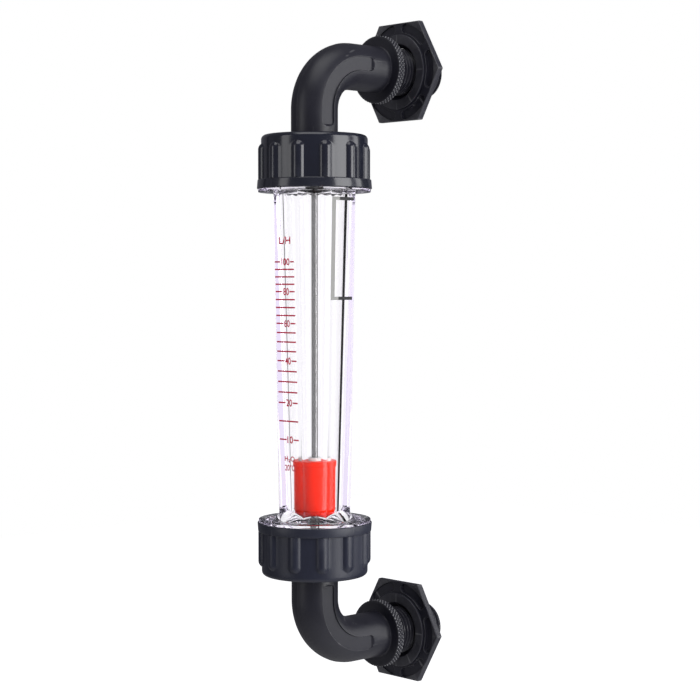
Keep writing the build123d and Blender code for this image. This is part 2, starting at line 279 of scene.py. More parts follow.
class StageSettings(bpy.types.PropertyGroup):
    """Camera, floor and surroundings"""

    camera_azimuth: angle("Camera azimuth", 46.87, "Turn of the camera from straight ahead")
    camera_pitch: angle("Camera pitch", -2.297, "Tilt of the camera")
    camera_distance: length("Camera distance", 754.0, "From the tube's axis")
    camera_side: length("Camera side step", 15.12, "To the camera's right")
    camera_height: length("Camera height", 32.74, "Above mid-height")
    lens: bpy.props.FloatProperty(name="Lens", description="Focal length", default=90.83)
    floor_gap: length("Floor gap", 600.0, "From the meter's lowest point to the floor")
    floor_size: length("Floor size", 8000.0, "Width of the floor")
    floor_tint: colour("Floor colour", (0.80, 0.80, 0.80), "Pale floor")
    room: colour("Room", (0.14, 0.14, 0.16), "Dim surroundings that the plastics mirror")


PROPERTY_GROUPS = {
    "rotameter_elbow": ElbowSizes,
    "rotameter_union": UnionNutSizes,
    "rotameter_panel_nut": PanelNutSizes,
    "rotameter_tube": TubeSizes,
    "rotameter_float": FloatSizes,
    "rotameter_print": PrintSizes,
    "rotameter_stage": StageSettings,
}


# Outlines


def smooth_step(value):
    """A soft ramp from 0 to 1."""
    value = min(1.0, max(0.0, value))
    return value * value * (3.0 - 2.0 * value)


def soft_max(first, second, blend):
    """The larger of two radii, with a small fillet where they cross."""
    gap = blend - abs(first - second)
    return max(first, second) + (gap * gap / (4 * blend) if gap > 0 else 0.0)


def off_middle(turn, pitch):
    """Signed angle from the nearest multiple of a pitch."""
    return (turn + pitch / 2) % pitch - pitch / 2


def spread(start, end, steps):
    """Evenly spaced values from start up to, and without, end."""
    return [start + (end - start) * i / steps for i in range(steps)]


def arc_points(centre, radius, start, end, steps):
    """Points of an arc in an outline, both ends included."""
    turns = spread(start, end, steps) + [end]
    return [(centre[0] + radius * cos(t), centre[1] + radius * sin(t)) for t in turns]


def low_corner(radius, level, edge, steps=3):
    """Quarter round at the lower outer corner of a (radius, height) outline."""
    return arc_points((radius - edge, level + edge), edge, -pi / 2, 0.0, steps)


def high_corner(radius, level, edge, steps=3):
    """Quarter round at the upper outer corner of a (radius, height) outline."""
    return arc_points((radius - edge, level - edge), edge, 0.0, pi / 2, steps)


def rings(kind, places):
    """Stations of a skin that all have one kind of surface."""
    return [(first, second, kind) for first, second in places]


def level_rings(kind, radius, levels):
    """Stations of one kind and radius, at several levels."""
    return [(radius, level, kind) for level in levels]


def thread_groove(sizes, reach, turn):
    """Depth of a rounded thread's groove at a distance along its axis and a turn."""
    wave = 1.3 * cos(tau * (reach / sizes.thread_pitch - turn / tau))
    crest = (min(1.0, max(-1.0, wave)) + 1.0) / 2.0
    return sizes.thread_depth * (1.0 - crest)


def triangle_wave(value):
    """1 at whole numbers, 0 half-way between them."""
    return abs(2.0 * (value - floor(value)) - 1.0)


def snapped(values, wanted):
    """The values with the nearest one moved to each wanted value."""
    moved = list(values)
    for target in wanted:
        nearest = min(range(len(moved)), key=lambda i: abs(moved[i] - target))
        moved[nearest] = target
    return sorted(moved)


# Mesh tools


def round_point(radius, turn, height):
    """A point round the tube's axis."""
    return Vector((radius * cos(turn), radius * sin(turn), height))


def clean(bm):
    """Merges the seam and the poles, and turns the faces outwards."""
    bmesh.ops.remove_doubles(bm, verts=bm.verts, dist=MERGE)
    bmesh.ops.dissolve_degenerate(bm, edges=bm.edges, dist=MERGE)
    bmesh.ops.recalc_face_normals(bm, faces=bm.faces)
    return bm


def rolled(columns, stations, place):
    """A grid rolled into a closed skin: place(column, station) gives the point of a crossing."""
    bm = bmesh.new()
    rows = len(stations)
    bmesh.ops.create_grid(bm, x_segments=len(columns), y_segments=rows, size=1.0)
    for vert in bm.verts:
        column = round((vert.co.x + 1.0) / 2.0 * len(columns)) % len(columns)
        row = round((vert.co.y + 1.0) / 2.0 * rows) % rows
        vert.co = place(columns[column], stations[row])
    return clean(bm)


def turned(outline, steps, closed=True):
    """A (radius, height) outline spun about the tube's axis."""
    bm = bmesh.new()
    verts = [bm.verts.new((r, 0.0, z)) for r, z in outline]
    edges = [bm.edges.new(pair) for pair in zip(verts, verts[1:])]
    if closed:
        edges.append(bm.edges.new((verts[-1], verts[0])))
    bmesh.ops.spin(
        bm, geom=verts + edges, cent=(0.0, 0.0, 0.0), axis=(0.0, 0.0, 1.0), dvec=(0.0, 0.0, 0.0),
        angle=tau, steps=steps, use_merge=True, use_normal_flip=False, use_duplicate=False,
    )
    return clean(bm)


def join(target, added_mesh):
    """Adds one bmesh to another and frees it."""
    mesh = bpy.data.meshes.new("joining")
    added_mesh.to_mesh(mesh)
    added_mesh.free()
    target.from_mesh(mesh)
    bpy.data.meshes.remove(mesh)


def placed(bm, name, material):
    """Makes the mesh an object of the scene."""
    mesh = bpy.data.meshes.new(name)
    bm.to_mesh(mesh)
    bm.free()
    mesh.materials.append(material)
    item = bpy.data.objects.new(name, mesh)
    bpy.context.scene.collection.objects.link(item)
    return item


def finish_piece(bm, name, body, material, replaced=(), crease=35.0, flip=False):
    """Makes the mesh an object in the meter's frame that rides on its body."""
    bmesh.ops.translate(bm, vec=AXIS_OFFSET, verts=bm.verts)
    if flip:
        bmesh.ops.transform(bm, matrix=FLIP, verts=bm.verts)
    piece = placed(bm, name, material)
    piece.data.shade_smooth()
    piece.data.set_sharp_from_angle(angle=radians(crease))
    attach(piece, body)
    if replaced:
        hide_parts(*replaced)
    return piece


# Material tools


def put(tree, socket, value):
    """Links an input to an output, or sets the input's own value."""
    if isinstance(value, bpy.types.NodeSocket):
        tree.links.new(value, socket)
    else:
        socket.default_value = value


def feed(tree, node, **inputs):
    """Puts values or links into a node's inputs, by their names with _ for a space."""
    for label, value in inputs.items():
        put(tree, node.inputs[label.replace("_", " ")], value)
    return node


def added(tree, kind, **inputs):
    """A new shader node with its inputs fed."""
    return feed(tree, tree.nodes.new("ShaderNode" + kind), **inputs)


def new_group(name, inputs, outputs):
    """A shader node group with named sockets, its inputs' values and its end node."""
    group = bpy.data.node_groups.new(name, "ShaderNodeTree")
    for label, default in inputs.items():
        socket = group.interface.new_socket(
            name=label, in_out="INPUT", socket_type="NodeSocketFloat"
        )
        socket.default_value = default
    for label in outputs:
        group.interface.new_socket(name=label, in_out="OUTPUT", socket_type="NodeSocketFloat")
    enter = group.nodes.new("NodeGroupInput")
    return group, enter.outputs, group.nodes.new("NodeGroupOutput")


def noise(tree, scale, detail, roughness):
    """A noise texture on the piece's own coordinates."""
    place = added(tree, "TexCoord").outputs["Object"]
    node = added(tree, "TexNoise", Vector=place, Scale=scale, Detail=detail, Roughness=roughness)
    return node.outputs["Fac"]


def ramp(tree, source, low, high, to_low=0.0, to_high=1.0):
    """Stretches part of a value's range over another range."""
    node = added(
        tree, "MapRange", Value=source, From_Min=low, From_Max=high, To_Min=to_low, To_Max=to_high
    )
    return node.outputs["Result"]


def combined(tree, operation, first, second=0.0, kind="Math"):
    """The result of a Math or Vector Math node."""
    node = added(tree, kind)
    node.operation = operation
    put(tree, node.inputs[0], first)
    put(tree, node.inputs[1], second)
    return node.outputs[0]


def bump(tree, height, strength, distance):
    """A surface normal from a height."""
    node = added(tree, "Bump", Height=height, Strength=strength, Distance=distance)
    return node.outputs["Normal"]


def opaque(tint):
    """A colour with its alpha."""
    return (tint[0], tint[1], tint[2], 1.0)


def shaded(tint, factor):
    """A lighter or darker copy of a colour."""
    return tuple(min(1.0, c * factor) for c in tint)


def mixed(tree, factor, first, second):
    """A colour between two, by a mask; the first may be a socket."""
    node = tree.nodes.new("ShaderNodeMix")
    node.data_type = "RGBA"
    if not isinstance(first, bpy.types.NodeSocket):
        first = opaque(first)
    return feed(tree, node, Factor=factor, A=first, B=opaque(second)).outputs["Result"]


def blended(tree, output, factor, first, second):
    """Leads two shaders to an output's surface, mixed by a mask."""
    node = tree.nodes.new("ShaderNodeMixShader")
    for socket, source in zip(node.inputs, (factor, first, second)):
        tree.links.new(source, socket)
    feed(tree, output, Surface=node.outputs["Shader"])


def caught_rays(tree):
    """1 for light that the tube's wall has mirrored more than three times."""
    depth = added(tree, "LightPath").outputs["Glossy Depth"]
    return combined(tree, "GREATER_THAN", depth, 3.5)


def clear_rays(tree):
    """1 for rays from the camera and through the tube."""
    rays = added(tree, "LightPath").outputs
    return combined(tree, "MAXIMUM", rays["Is Camera Ray"], rays["Is Transmission Ray"])


def grain_group():
    """Fine grain of a moulding and its broad, faint mottling."""
    group, enter, leave = new_group(
        "Moulding grain", {"Grain Scale": 2200.0, "Mottle Scale": 70.0}, ["Mottle", "Height"]
    )
    mottle = noise(group, enter["Mottle Scale"], 4.0, 0.55)
    grain = noise(group, enter["Grain Scale"], 3.0, 0.6)
    feed(group, leave, Mottle=ramp(group, mottle, 0.3, 0.7), Height=grain)
    return group


def wear_group():
    """Pale convex edges, partly rub and partly a painted highlight, broken up by noise."""
    group, enter, leave = new_group("Edge wear and highlight", {"Amount": 0.5, "Patch Scale": 160.0}, ["Mask"])
    edge = ramp(group, added(group, "NewGeometry").outputs["Pointiness"], 0.515, 0.60)
    patch = ramp(group, noise(group, enter["Patch Scale"], 3.0, 0.6), 0.3, 0.6, 0.35, 1.0)
    broken = combined(group, "MULTIPLY", edge, patch)
    feed(group, leave, Mask=combined(group, "MULTIPLY", broken, enter["Amount"]))
    return group


def lathe_group():
    """Fine marks that run round the axis or along it, by their two scales."""
    group, enter, leave = new_group(
        "Machining marks", {"Round Scale": 40.0, "Along Scale": 4000.0}, ["Marks"]
    )
    around, along = enter["Round Scale"], enter["Along Scale"]
    stretch = added(group, "CombineXYZ", X=around, Y=around, Z=along).outputs["Vector"]
    place = added(group, "TexCoord").outputs["Object"]
    scaled = combined(group, "MULTIPLY", place, stretch, kind="VectorMath")
    marks = added(group, "TexNoise", Vector=scaled, Scale=1.0, Detail=2.0)
    feed(group, leave, Marks=marks.outputs["Fac"])
    return group


def placed_group(tree, make, name, **values):
    """The outputs of a shared node group, which is made the first time it is asked for."""
    node = tree.nodes.new("ShaderNodeGroup")
    node.node_tree = bpy.data.node_groups.get(name) or make()
    return feed(tree, node, **values).outputs


def new_material(name):
    """A material with a bare Principled BSDF."""
    material = bpy.data.materials.new(name)
    material.use_nodes = True
    tree = material.node_tree
    tree.nodes.clear()
    shader = added(tree, "BsdfPrincipled")
    added(tree, "OutputMaterial", Surface=shader.outputs["BSDF"])
    return material, tree, shader


# Materials


def collar_crests(tree, sizes):
    """Mask of a painted highlight: 1 on the crests of the collar's knurl, 0 in its grooves and off
    the collar.
    """
    place = added(tree, "TexCoord").outputs["Object"]
    parts = added(tree, "SeparateXYZ", Vector=place).outputs

    def squared(value):
        return combined(tree, "POWER", combined(tree, "ABSOLUTE", value), 2.0)

    rise = combined(tree, "SUBTRACT", combined(tree, "ABSOLUTE", parts["Z"]), PORT_HEIGHT)
    reach = combined(tree, "SQRT", combined(tree, "ADD", squared(rise), squared(parts["X"])))
    rim, depth = sizes.collar_radius, sizes.knurl_depth
    crest = ramp(tree, reach, rim - 0.4 * depth, rim - 0.05 * depth)
    front = AXIS_OFFSET.y + sizes.collar_front + sizes.collar_edge / 2
    return combined(tree, "MULTIPLY", crest, combined(tree, "GREATER_THAN", parts["Y"], front))


def moulded_plastic(name, tint, rough, grain, edge_wear_and_highlight, coat=0.0, rub_and_highlight=0.1, collar=None):
    """Dark moulded plastic with mottling, grain, pale edges that are partly rub and partly a
    painted highlight, and on the collar a painted highlight on the knurl's crests.
    """
    material, tree, shader = new_material(name)
    surface = placed_group(tree, grain_group, "Moulding grain")
    edges = placed_group(tree, wear_group, "Edge wear and highlight", Amount=edge_wear_and_highlight)
    body = mixed(tree, surface["Mottle"], shaded(tint, 0.88), shaded(tint, 1.14))
    # Convex edges turn paler, partly as rub and partly as a painted highlight
    tone = mixed(tree, edges["Mask"], body, tuple(c + rub_and_highlight for c in tint))
    if collar:
        # On the collar, the knurl's crests take a painted highlight
        tone = mixed(tree, collar_crests(tree, collar), tone, collar.crest_tint)
    feed(
        tree, shader, Base_Color=tone, IOR=1.52, Coat_Weight=coat, Coat_Roughness=0.12,
        Roughness=ramp(tree, surface["Mottle"], 0.0, 1.0, *rough),
        Normal=bump(tree, surface["Height"], grain, 0.03 * MM),
    )
    return material


def clear_acrylic(tint):
    """Polished clear acrylic with the faint ripple of a moulding."""
    material, tree, shader = new_material("clear_acrylic")
    feed(
        tree, shader, Base_Color=WHITE, Transmission_Weight=1.0, Roughness=0.0, IOR=1.49,
        Specular_Tint=(0.45, 0.45, 0.45, 1.0),
        Normal=bump(tree, noise(tree, 55.0, 1.0, 0.4), 0.05, 0.05 * MM),
    )
    body = added(tree, "VolumeAbsorption", Color=opaque(tint), Density=24.0)
    output = feed(tree, tree.nodes["Material Output"], Volume=body.outputs["Volume"])
    # Light that is caught inside the wall leaves it before its bounces run out
    leaving = added(tree, "BsdfTransparent").outputs["BSDF"]
    blended(tree, output, caught_rays(tree), shader.outputs["BSDF"], leaving)
    return material


def machined(name, tint, scales, tones, rough, rings_height=0.0, **inputs):
    """A turned or drawn surface, with fine marks round its axis or along it."""
    material, tree, shader = new_material(name)
    marks = placed_group(
        tree, lathe_group, "Machining marks", Round_Scale=scales[0], Along_Scale=scales[1]
    )["Marks"]
    tone = mixed(tree, marks, shaded(tint, tones[0]), shaded(tint, tones[1]))
    feed(tree, shader, Base_Color=tone, Roughness=ramp(tree, marks, 0.3, 0.7, *rough), **inputs)
    if rings_height:
        feed(tree, shader, Normal=bump(tree, marks, rings_height, 0.01 * MM))
    return material


def turned_plastic(name, tint, rough, gloss):
    """Plastic turned on a lathe, with fine rings."""
    return machined(
        name, tint, (30.0, 3500.0), (0.93, 1.05), rough, 0.15, Specular_IOR_Level=gloss
    )


def drawn_steel(tint):
    """Drawn stainless rod, with streaks along it."""
    return machined("drawn_steel", tint, (6000.0, 35.0), (0.8, 1.1), (0.18, 0.34), Metallic=1.0)


def black_rubber():
    """Matt black rubber with a bloom."""
    material, tree, shader = new_material("black_rubber")
    surface = placed_group(tree, grain_group, "Moulding grain", Grain_Scale=1600.0)
    feed(
        tree, shader,
        Base_Color=mixed(tree, surface["Mottle"], (0.010, 0.010, 0.010), (0.022, 0.022, 0.022)),
        Roughness=ramp(tree, surface["Mottle"], 0.0, 1.0, 0.62, 0.8),
        Normal=bump(tree, surface["Height"], 0.3, 0.03 * MM),
    )
    return material


def printing_ink(name, tint):
    """Screen-printed ink with a slightly uneven film, too thin to show through the tube."""
    material, tree, shader = new_material(name)
    depth = added(tree, "LightPath").outputs["Transmission Depth"]
    film = noise(tree, 900.0, 4.0, 0.65)
    feed(
        tree, shader, Base_Color=mixed(tree, film, shaded(tint, 0.75), shaded(tint, 1.25)),
        Roughness=ramp(tree, film, 0.3, 0.7, 0.4, 0.6),
        Alpha=combined(tree, "LESS_THAN", depth, 0.5),
    )
    return material


# Elbows


def elbow_run(sizes):
    """Lengths of the elbow's upright leg and of its bend, along the centreline."""
    return PORT_HEIGHT - sizes.bend_radius - FLANGE_FACE, sizes.bend_radius * pi / 2


def elbow_point(sizes, along, out, turn):
    """A point of the pipe: along its centreline from the flange, out from it, and round it."""
    leg, bend = elbow_run(sizes)
    side = out * cos(turn)
    outward = out * sin(turn)
    if along <= leg:
        return Vector((side, -outward, FLANGE_FACE + along))
    if along > leg + bend:
        return Vector((side, sizes.bend_radius + along - leg - bend, PORT_HEIGHT + outward))
    swing = (along - leg) / sizes.bend_radius
    reach = sizes.bend_radius + outward
    height = PORT_HEIGHT - sizes.bend_radius + reach * sin(swing)
    return Vector((side, sizes.bend_radius - reach * cos(swing), height))


def pad_ends(sizes):
    """Where the pad starts and ends along the centreline."""
    leg, bend = elbow_run(sizes)
    return leg - sizes.pad_drop, leg + bend + sizes.pad_reach


def pad_share(sizes, along, outward):
    """1 on the pad's floor, 0 outside its edge."""
    low, high = pad_ends(sizes)
    corner = sizes.pad_corner
    reach = abs(along - (low + high) / 2) - (high - low) / 2 + corner
    half = (sizes.pad_high - sizes.pad_low) / 2
    rise = abs(outward - (sizes.pad_high + sizes.pad_low) / 2) - half + corner
    outside = hypot(max(reach, 0.0), max(rise, 0.0)) + min(max(reach, rise), 0.0)
    return smooth_step((corner - outside) / PAD_WALL + 0.5)


def elbow_stations(sizes):
    """Rings of the elbow's skin: distance along, radius and kind of surface."""
    leg, bend = elbow_run(sizes)
    level = leg + bend - sizes.bend_radius
    front = level + sizes.collar_front
    back = front + sizes.collar_thickness
    end = level + ELBOW_HIGH.y - AXIS_OFFSET.y
    edge, root, rim = sizes.collar_edge, sizes.collar_root, sizes.collar_radius
    pipe, bore, thread = sizes.pipe_radius, sizes.bore_radius, sizes.thread_radius
    inside = sizes.seal_radius - sizes.seal_width / 2
    outside = sizes.seal_radius + sizes.seal_width / 2
    flange, thick, depth = sizes.flange_radius, sizes.flange_thickness, sizes.seal_depth
    stations = rings("plain", [
        (0.0, sizes.funnel_radius), (0.0, inside), (depth, inside), (depth, outside),
        (0.0, outside), (0.0, flange - edge), (edge, flange), (thick - edge, flange),
        (thick, flange - edge), (thick, pipe + edge), (thick, pipe),
    ])
    pad_start, pad_end = pad_ends(sizes)
    step = 0.5 * MM
    steps = round((pad_end - pad_start + 4 * step) / step)
    pad_run = spread(pad_start - 2 * step, pad_end + 2 * step, steps)
    stations += rings("pad", [(s, pipe) for s in pad_run])
    stations += rings("seamed", arc_points((front - root, pipe + root), root, -pi / 2, 0.0, 4))
    stations += rings("plain", [(front, rim - 4 * edge), (front, rim - edge)])
    row = tau * rim / sizes.knurl_count / 8
    rows = floor((back - front - 2 * edge) / row)
    stations += rings("knurl", [(back - edge - row * (rows - i), rim) for i in range(rows + 1)])
    stations += rings("plain", [(back, rim - edge), (back, thread + edge)])
    steps = round((end - back) / sizes.thread_pitch * 8)
    stations += rings("thread", [(s, thread) for s in spread(back, end, steps)])
    stations += rings("plain", [
        (end, thread - sizes.spigot_chamfer), (end, bore + edge), (end - edge, bore),
        *((s, bore) for s in spread(leg + bend, leg, 24)), (leg, bore),
        (sizes.funnel_depth, bore),
    ])
    return stations, back, end, level


def elbow_skin(sizes):
    """The upper elbow as one closed skin, from its flange to its spigot and back inside."""
    stations, thread_start, thread_end, level = elbow_stations(sizes)
    seam = radians(0.8)
    ridges = (pi / 2, 3 * pi / 2)
    wanted = [ridge + side for ridge in ridges for side in (-seam, 0.0, seam)]
    wall = 0.1 * MM
    for rise in (sizes.pad_low, sizes.pad_low + wall, sizes.pad_high - wall, sizes.pad_high):
        lift = atan2(rise, sqrt(sizes.pipe_radius**2 - rise**2))
        wanted += [lift % tau, (pi - lift) % tau]
    columns = snapped(spread(0.0, tau, 6 * sizes.knurl_count), wanted)
    row_pitch = tau * sizes.collar_radius / sizes.knurl_count

    def place(turn, station):
        along, radius, kind = station
        if kind == "knurl":
            round_collar = turn / tau * sizes.knurl_count
            across = (along - thread_start + sizes.collar_edge) / row_pitch
            peak = min(triangle_wave(round_collar + across), triangle_wave(round_collar - across))
            radius -= sizes.knurl_depth * (1.0 - peak)
        if kind == "thread":
            run_in = smooth_step((along - thread_start) / sizes.thread_pitch)
            depth = thread_groove(sizes, along - level, turn)
            chamfered = sizes.thread_radius - max(0.0, along - thread_end + sizes.spigot_chamfer)
            radius = min(radius - depth * run_in, chamfered)
        if kind in ("pad", "seamed"):
            away = min(abs(turn - ridge) for ridge in ridges)
            radius += sizes.seam_height * smooth_step(1.0 - away / seam)
        if kind == "pad":
            across = radius * cos(turn)
            outward = radius * sin(turn)
            floor_level = sizes.pipe_radius - sizes.pad_depth
            cut = pad_share(sizes, along, outward)
            if abs(across) > floor_level:
                across += cut * (floor_level - abs(across)) * (1 if across > 0 else -1)
            radius, turn = hypot(across, outward), atan2(outward, across)
        return elbow_point(sizes, along, radius, turn)

    return rolled(columns, stations, place)


class ROTAMETER_OT_elbows(bpy.types.Operator):
    """Make the two elbow mouldings"""

    bl_idname = "rotameter.elbows"
    bl_label = "Elbows"

    def execute(self, context):
        sizes = context.scene.rotameter_elbow
        plastic = moulded_plastic(
            "elbow_plastic", sizes.tint, (0.34, 0.46), 0.35, 0.6, rub_and_highlight=0.08, collar=sizes
        )
        for end, flip in ENDS:
            finish_piece(
                elbow_skin(sizes), end + "_elbow_moulding", "meter", plastic,
                replaced=(end + "_elbow",), flip=flip,
            )
        return {"FINISHED"}


# Union nuts


def rib_circle(sizes):
    """Radius of a rib's round and its centre's distance from the axis."""
    radius = (sizes.rib_width**2 / 4 + sizes.rib_proud**2) / (2 * sizes.rib_proud)
    return radius, sizes.radius + sizes.rib_proud - radius


def rib_radius(sizes, turn, height, rib_end):
    """Outer radius of the nearest rib at an angle and height, or 0 where there is none."""
    off = off_middle(turn, tau / sizes.rib_count)
    radius, centre = rib_circle(sizes)
    level = max(0.0, height - rib_end)
    squared = radius**2 - level**2 - (centre * sin(off)) ** 2
    return centre * cos(off) + sqrt(squared) if squared > 0 else 0.0


def union_nut_skin(sizes, turn_by):
    """The upper union nut as one closed skin."""
    mouth, top = NUT_LOW.z, NUT_HIGH.z
    edge, bore, hole = sizes.edge, sizes.bore_radius, sizes.hole_radius
    rim_top = mouth + sizes.rim_height
    rim = sizes.rim_radius
    shoulder = top - sizes.end_wall
    rib_round, centre = rib_circle(sizes)
    arch = sqrt(rib_round**2 - (sizes.radius - centre) ** 2)
    rib_end = top - sizes.rib_top_gap - arch
    rib_levels = spread(rim_top, rib_end, 4) + spread(rib_end, rib_end + rib_round, 16)
    thread_low = mouth + sizes.mouth_chamfer
    steps = round((shoulder - thread_low) / sizes.thread_pitch * 6)
    stations = rings("plain", [
        (bore + sizes.mouth_chamfer, mouth), *low_corner(rim, mouth, edge),
        *high_corner(rim - sizes.rim_draft, rim_top, edge),
    ])
    stations += level_rings("rib", sizes.radius, rib_levels)
    stations += rings("rib", high_corner(sizes.radius, top, sizes.shoulder_round, 8))
    stations += rings("plain", arc_points((hole + edge, top - edge), edge, pi / 2, pi, 3))
    stations += rings("plain", [(hole, shoulder)])
    stations += level_rings("thread", bore, spread(shoulder, thread_low, steps))
    stations += rings("plain", [(bore, thread_low)])
    foot = atan2(sizes.rib_width / 2, sizes.radius)
    pitch = tau / sizes.rib_count
    columns = []
    for rib in range(sizes.rib_count):
        middle = rib * pitch + turn_by
        columns += spread(middle - foot, middle + foot, 14)
        columns += spread(middle + foot, middle + pitch - foot, 8)

    def place(turn, station):
        radius, height, kind = station
        if kind == "rib":
            rib = rib_radius(sizes, turn - turn_by, height, rib_end)
            radius = soft_max(radius, rib, RIB_FILLET)
        if kind == "thread":
            near = min(shoulder - height, height - thread_low) / sizes.thread_pitch
            radius += thread_groove(sizes, height, turn) * smooth_step(near)
        return round_point(radius, turn, height)

    return rolled(columns, stations, place)


class ROTAMETER_OT_union_nuts(bpy.types.Operator):
    """Make the two ribbed union nuts"""

    bl_idname = "rotameter.union_nuts"
    bl_label = "Union nuts"

    def execute(self, context):
        sizes = context.scene.rotameter_union
        glossy = moulded_plastic("upper_nut_plastic", sizes.tint, (0.16, 0.24), 0.12, 0.5, coat=0.5)
        # The lower nut takes a lighter copy of the nut's colour, painted light, on a satin finish
        painted_light_tint = shaded(sizes.tint, 1.5)
        satin = moulded_plastic("lower_nut_plastic", painted_light_tint, (0.34, 0.46), 0.3, 0.5)
        for (end, flip), plastic, turn in zip(ENDS, (glossy, satin), (0.0, -sizes.lower_turn)):
            finish_piece(
                union_nut_skin(sizes, turn), end + "_union_nut_moulding", end + "_union", plastic,
                replaced=(end + "_union_nut",), flip=flip,
            )
        return {"FINISHED"}


# Panel nuts


def pocket_share(sizes, radius, turn):
    """1 on a pocket's floor, 0 outside it."""
    over = max(0.0, abs(off_middle(turn, tau / 6)) - sizes.pocket_half_angle)
    away = hypot(radius * cos(over) - sizes.pocket_radius, radius * sin(over))
    return smooth_step((sizes.pocket_width / 2 - away) / POCKET_WALL + 0.5)


def panel_nut_skin(sizes, spigot):
    """The panel nut as one closed skin whose thread meshes with the spigot's."""
    front = PANEL_NUT_LOW.y
    back = PANEL_NUT_HIGH.y
    plate = front + sizes.boss_height
    flat = (PANEL_NUT_HIGH.x - PANEL_NUT_LOW.x) / 2 * cos(pi / 6)
    edge, boss = sizes.edge, sizes.boss_radius
    bore = spigot.thread_radius + sizes.thread_gap
    mouth = bore + sizes.bore_chamfer
    pocket_low = sizes.pocket_radius - sizes.pocket_width / 2 - POCKET_INSIDE
    pocket_high = sizes.pocket_radius + sizes.pocket_width / 2 + POCKET_OUTSIDE
    # The rim's round as (share of the way out, levels in from a face)
    rim = ((0.0, 0.0), (0.35, 0.25), (0.8, 0.75), (1.0, 1.5))
    steps = round((back - front) / spigot.thread_pitch * 14)
    stations = rings("plain", [(mouth, front), *low_corner(boss, front, edge), (boss, plate)])
    stations += rings("pocket", [(r, plate) for r in spread(pocket_low, pocket_high, 34)])
    stations += rings("rim", [(out, plate + level * edge) for out, level in rim])
    stations += rings("rim", [(out, back - level * edge) for out, level in reversed(rim)])
    stations += rings("plain", [(boss, back), (mouth, back)])
    stations += level_rings("thread", bore, spread(back, front, steps))

    def place(turn, station):
        radius, level, kind = station
        if kind == "pocket":
            level += sizes.pocket_depth * pocket_share(sizes, radius, turn)
        if kind == "rim":
            radius = flat / cos((turn % (pi / 3)) - pi / 6) - edge + edge * radius
        if kind == "thread":
            near = min(back - level, level - front)
            thread = radius - thread_groove(spigot, level - AXIS_OFFSET.y, turn)
            radius = max(thread, mouth - near)
        # The hexagon lies across the port, so its angle runs from +X up to +Z
        across = radius * cos(turn)
        return Vector((across, level - AXIS_OFFSET.y, PORT_HEIGHT + radius * sin(turn)))

    return rolled(spread(0.0, tau, 360), stations, place)


class ROTAMETER_OT_panel_nuts(bpy.types.Operator):
    """Make the two hexagon panel nuts"""

    bl_idname = "rotameter.panel_nuts"
    bl_label = "Panel nuts"

    def execute(self, context):
        sizes = context.scene.rotameter_panel_nut
        plastic = moulded_plastic("panel_nut_plastic", sizes.tint, (0.36, 0.5), 0.3, 0.8, rub_and_highlight=0.2)
        for end, flip in ENDS:
            finish_piece(
                panel_nut_skin(sizes, context.scene.rotameter_elbow),
                end + "_panel_nut_moulding", end + "_clamp", plastic,
                replaced=(end + "_panel_nut",), crease=40.0, flip=flip,
            )
        return {"FINISHED"}


# Metering tube


def flange_levels(sizes):
    """Distances from mid-height to a flange's outer and inner face."""
    outer = NUT_LOW.z - sizes.flange_gap
    return outer, outer - sizes.flange_thickness


def flat_distances(sizes, height):
    """Distances from the axis to the printed flats and to the flats between them."""
    inner = flange_levels(sizes)[1]
    rise = (height + inner) / (2 * inner)
    printed = sizes.flat_lower + (sizes.flat_upper - sizes.flat_lower) * rise
    between = sizes.diagonal_lower + (sizes.diagonal_upper - sizes.diagonal_lower) * rise
    return printed, between


def flare_radius(sizes, height):
    """Radius of the flare's cone at a height, at either flange."""
    upper = height > 0
    foot = sizes.foot_upper if upper else sizes.foot_lower
    flare = sizes.flare_upper if upper else sizes.flare_lower
    far = flange_levels(sizes)[1] - flare
    start = flat_distances(sizes, far if upper else -far)[0] - sizes.facet_round
    return start + (foot - start) * (abs(height) - far) / flare


def corner_centre(sizes, height):
    """Centre of a corner's round, out from the axis and along the printed flat."""
    printed, between = flat_distances(sizes, height)
    out = printed - sizes.facet_round
    return out, (between - sizes.facet_round - out * cos(pi / 4)) / sin(pi / 4)


def corner_turns(sizes, height):
    """Angles, from the printed flat's middle, at which a corner's round starts and ends."""
    printed, between = flat_distances(sizes, height)
    out, along = corner_centre(sizes, height)
    return atan2(along, printed), pi / 4 - atan2((out - along) * cos(pi / 4), between)


def octagon_radius(sizes, turn, height):
    """Outside radius of the eight-sided tube with its rounded corners."""
    printed, between = flat_distances(sizes, height)
    off = abs(off_middle(turn, pi / 2))
    start, end = corner_turns(sizes, height)
    if off <= start:
        return printed / cos(off)
    if off >= end:
        return between / cos(pi / 4 - off)
    out, along = corner_centre(sizes, height)
    reach = out * cos(off) + along * sin(off)
    return reach + sqrt(sizes.facet_round**2 - out**2 - along**2 + reach**2)


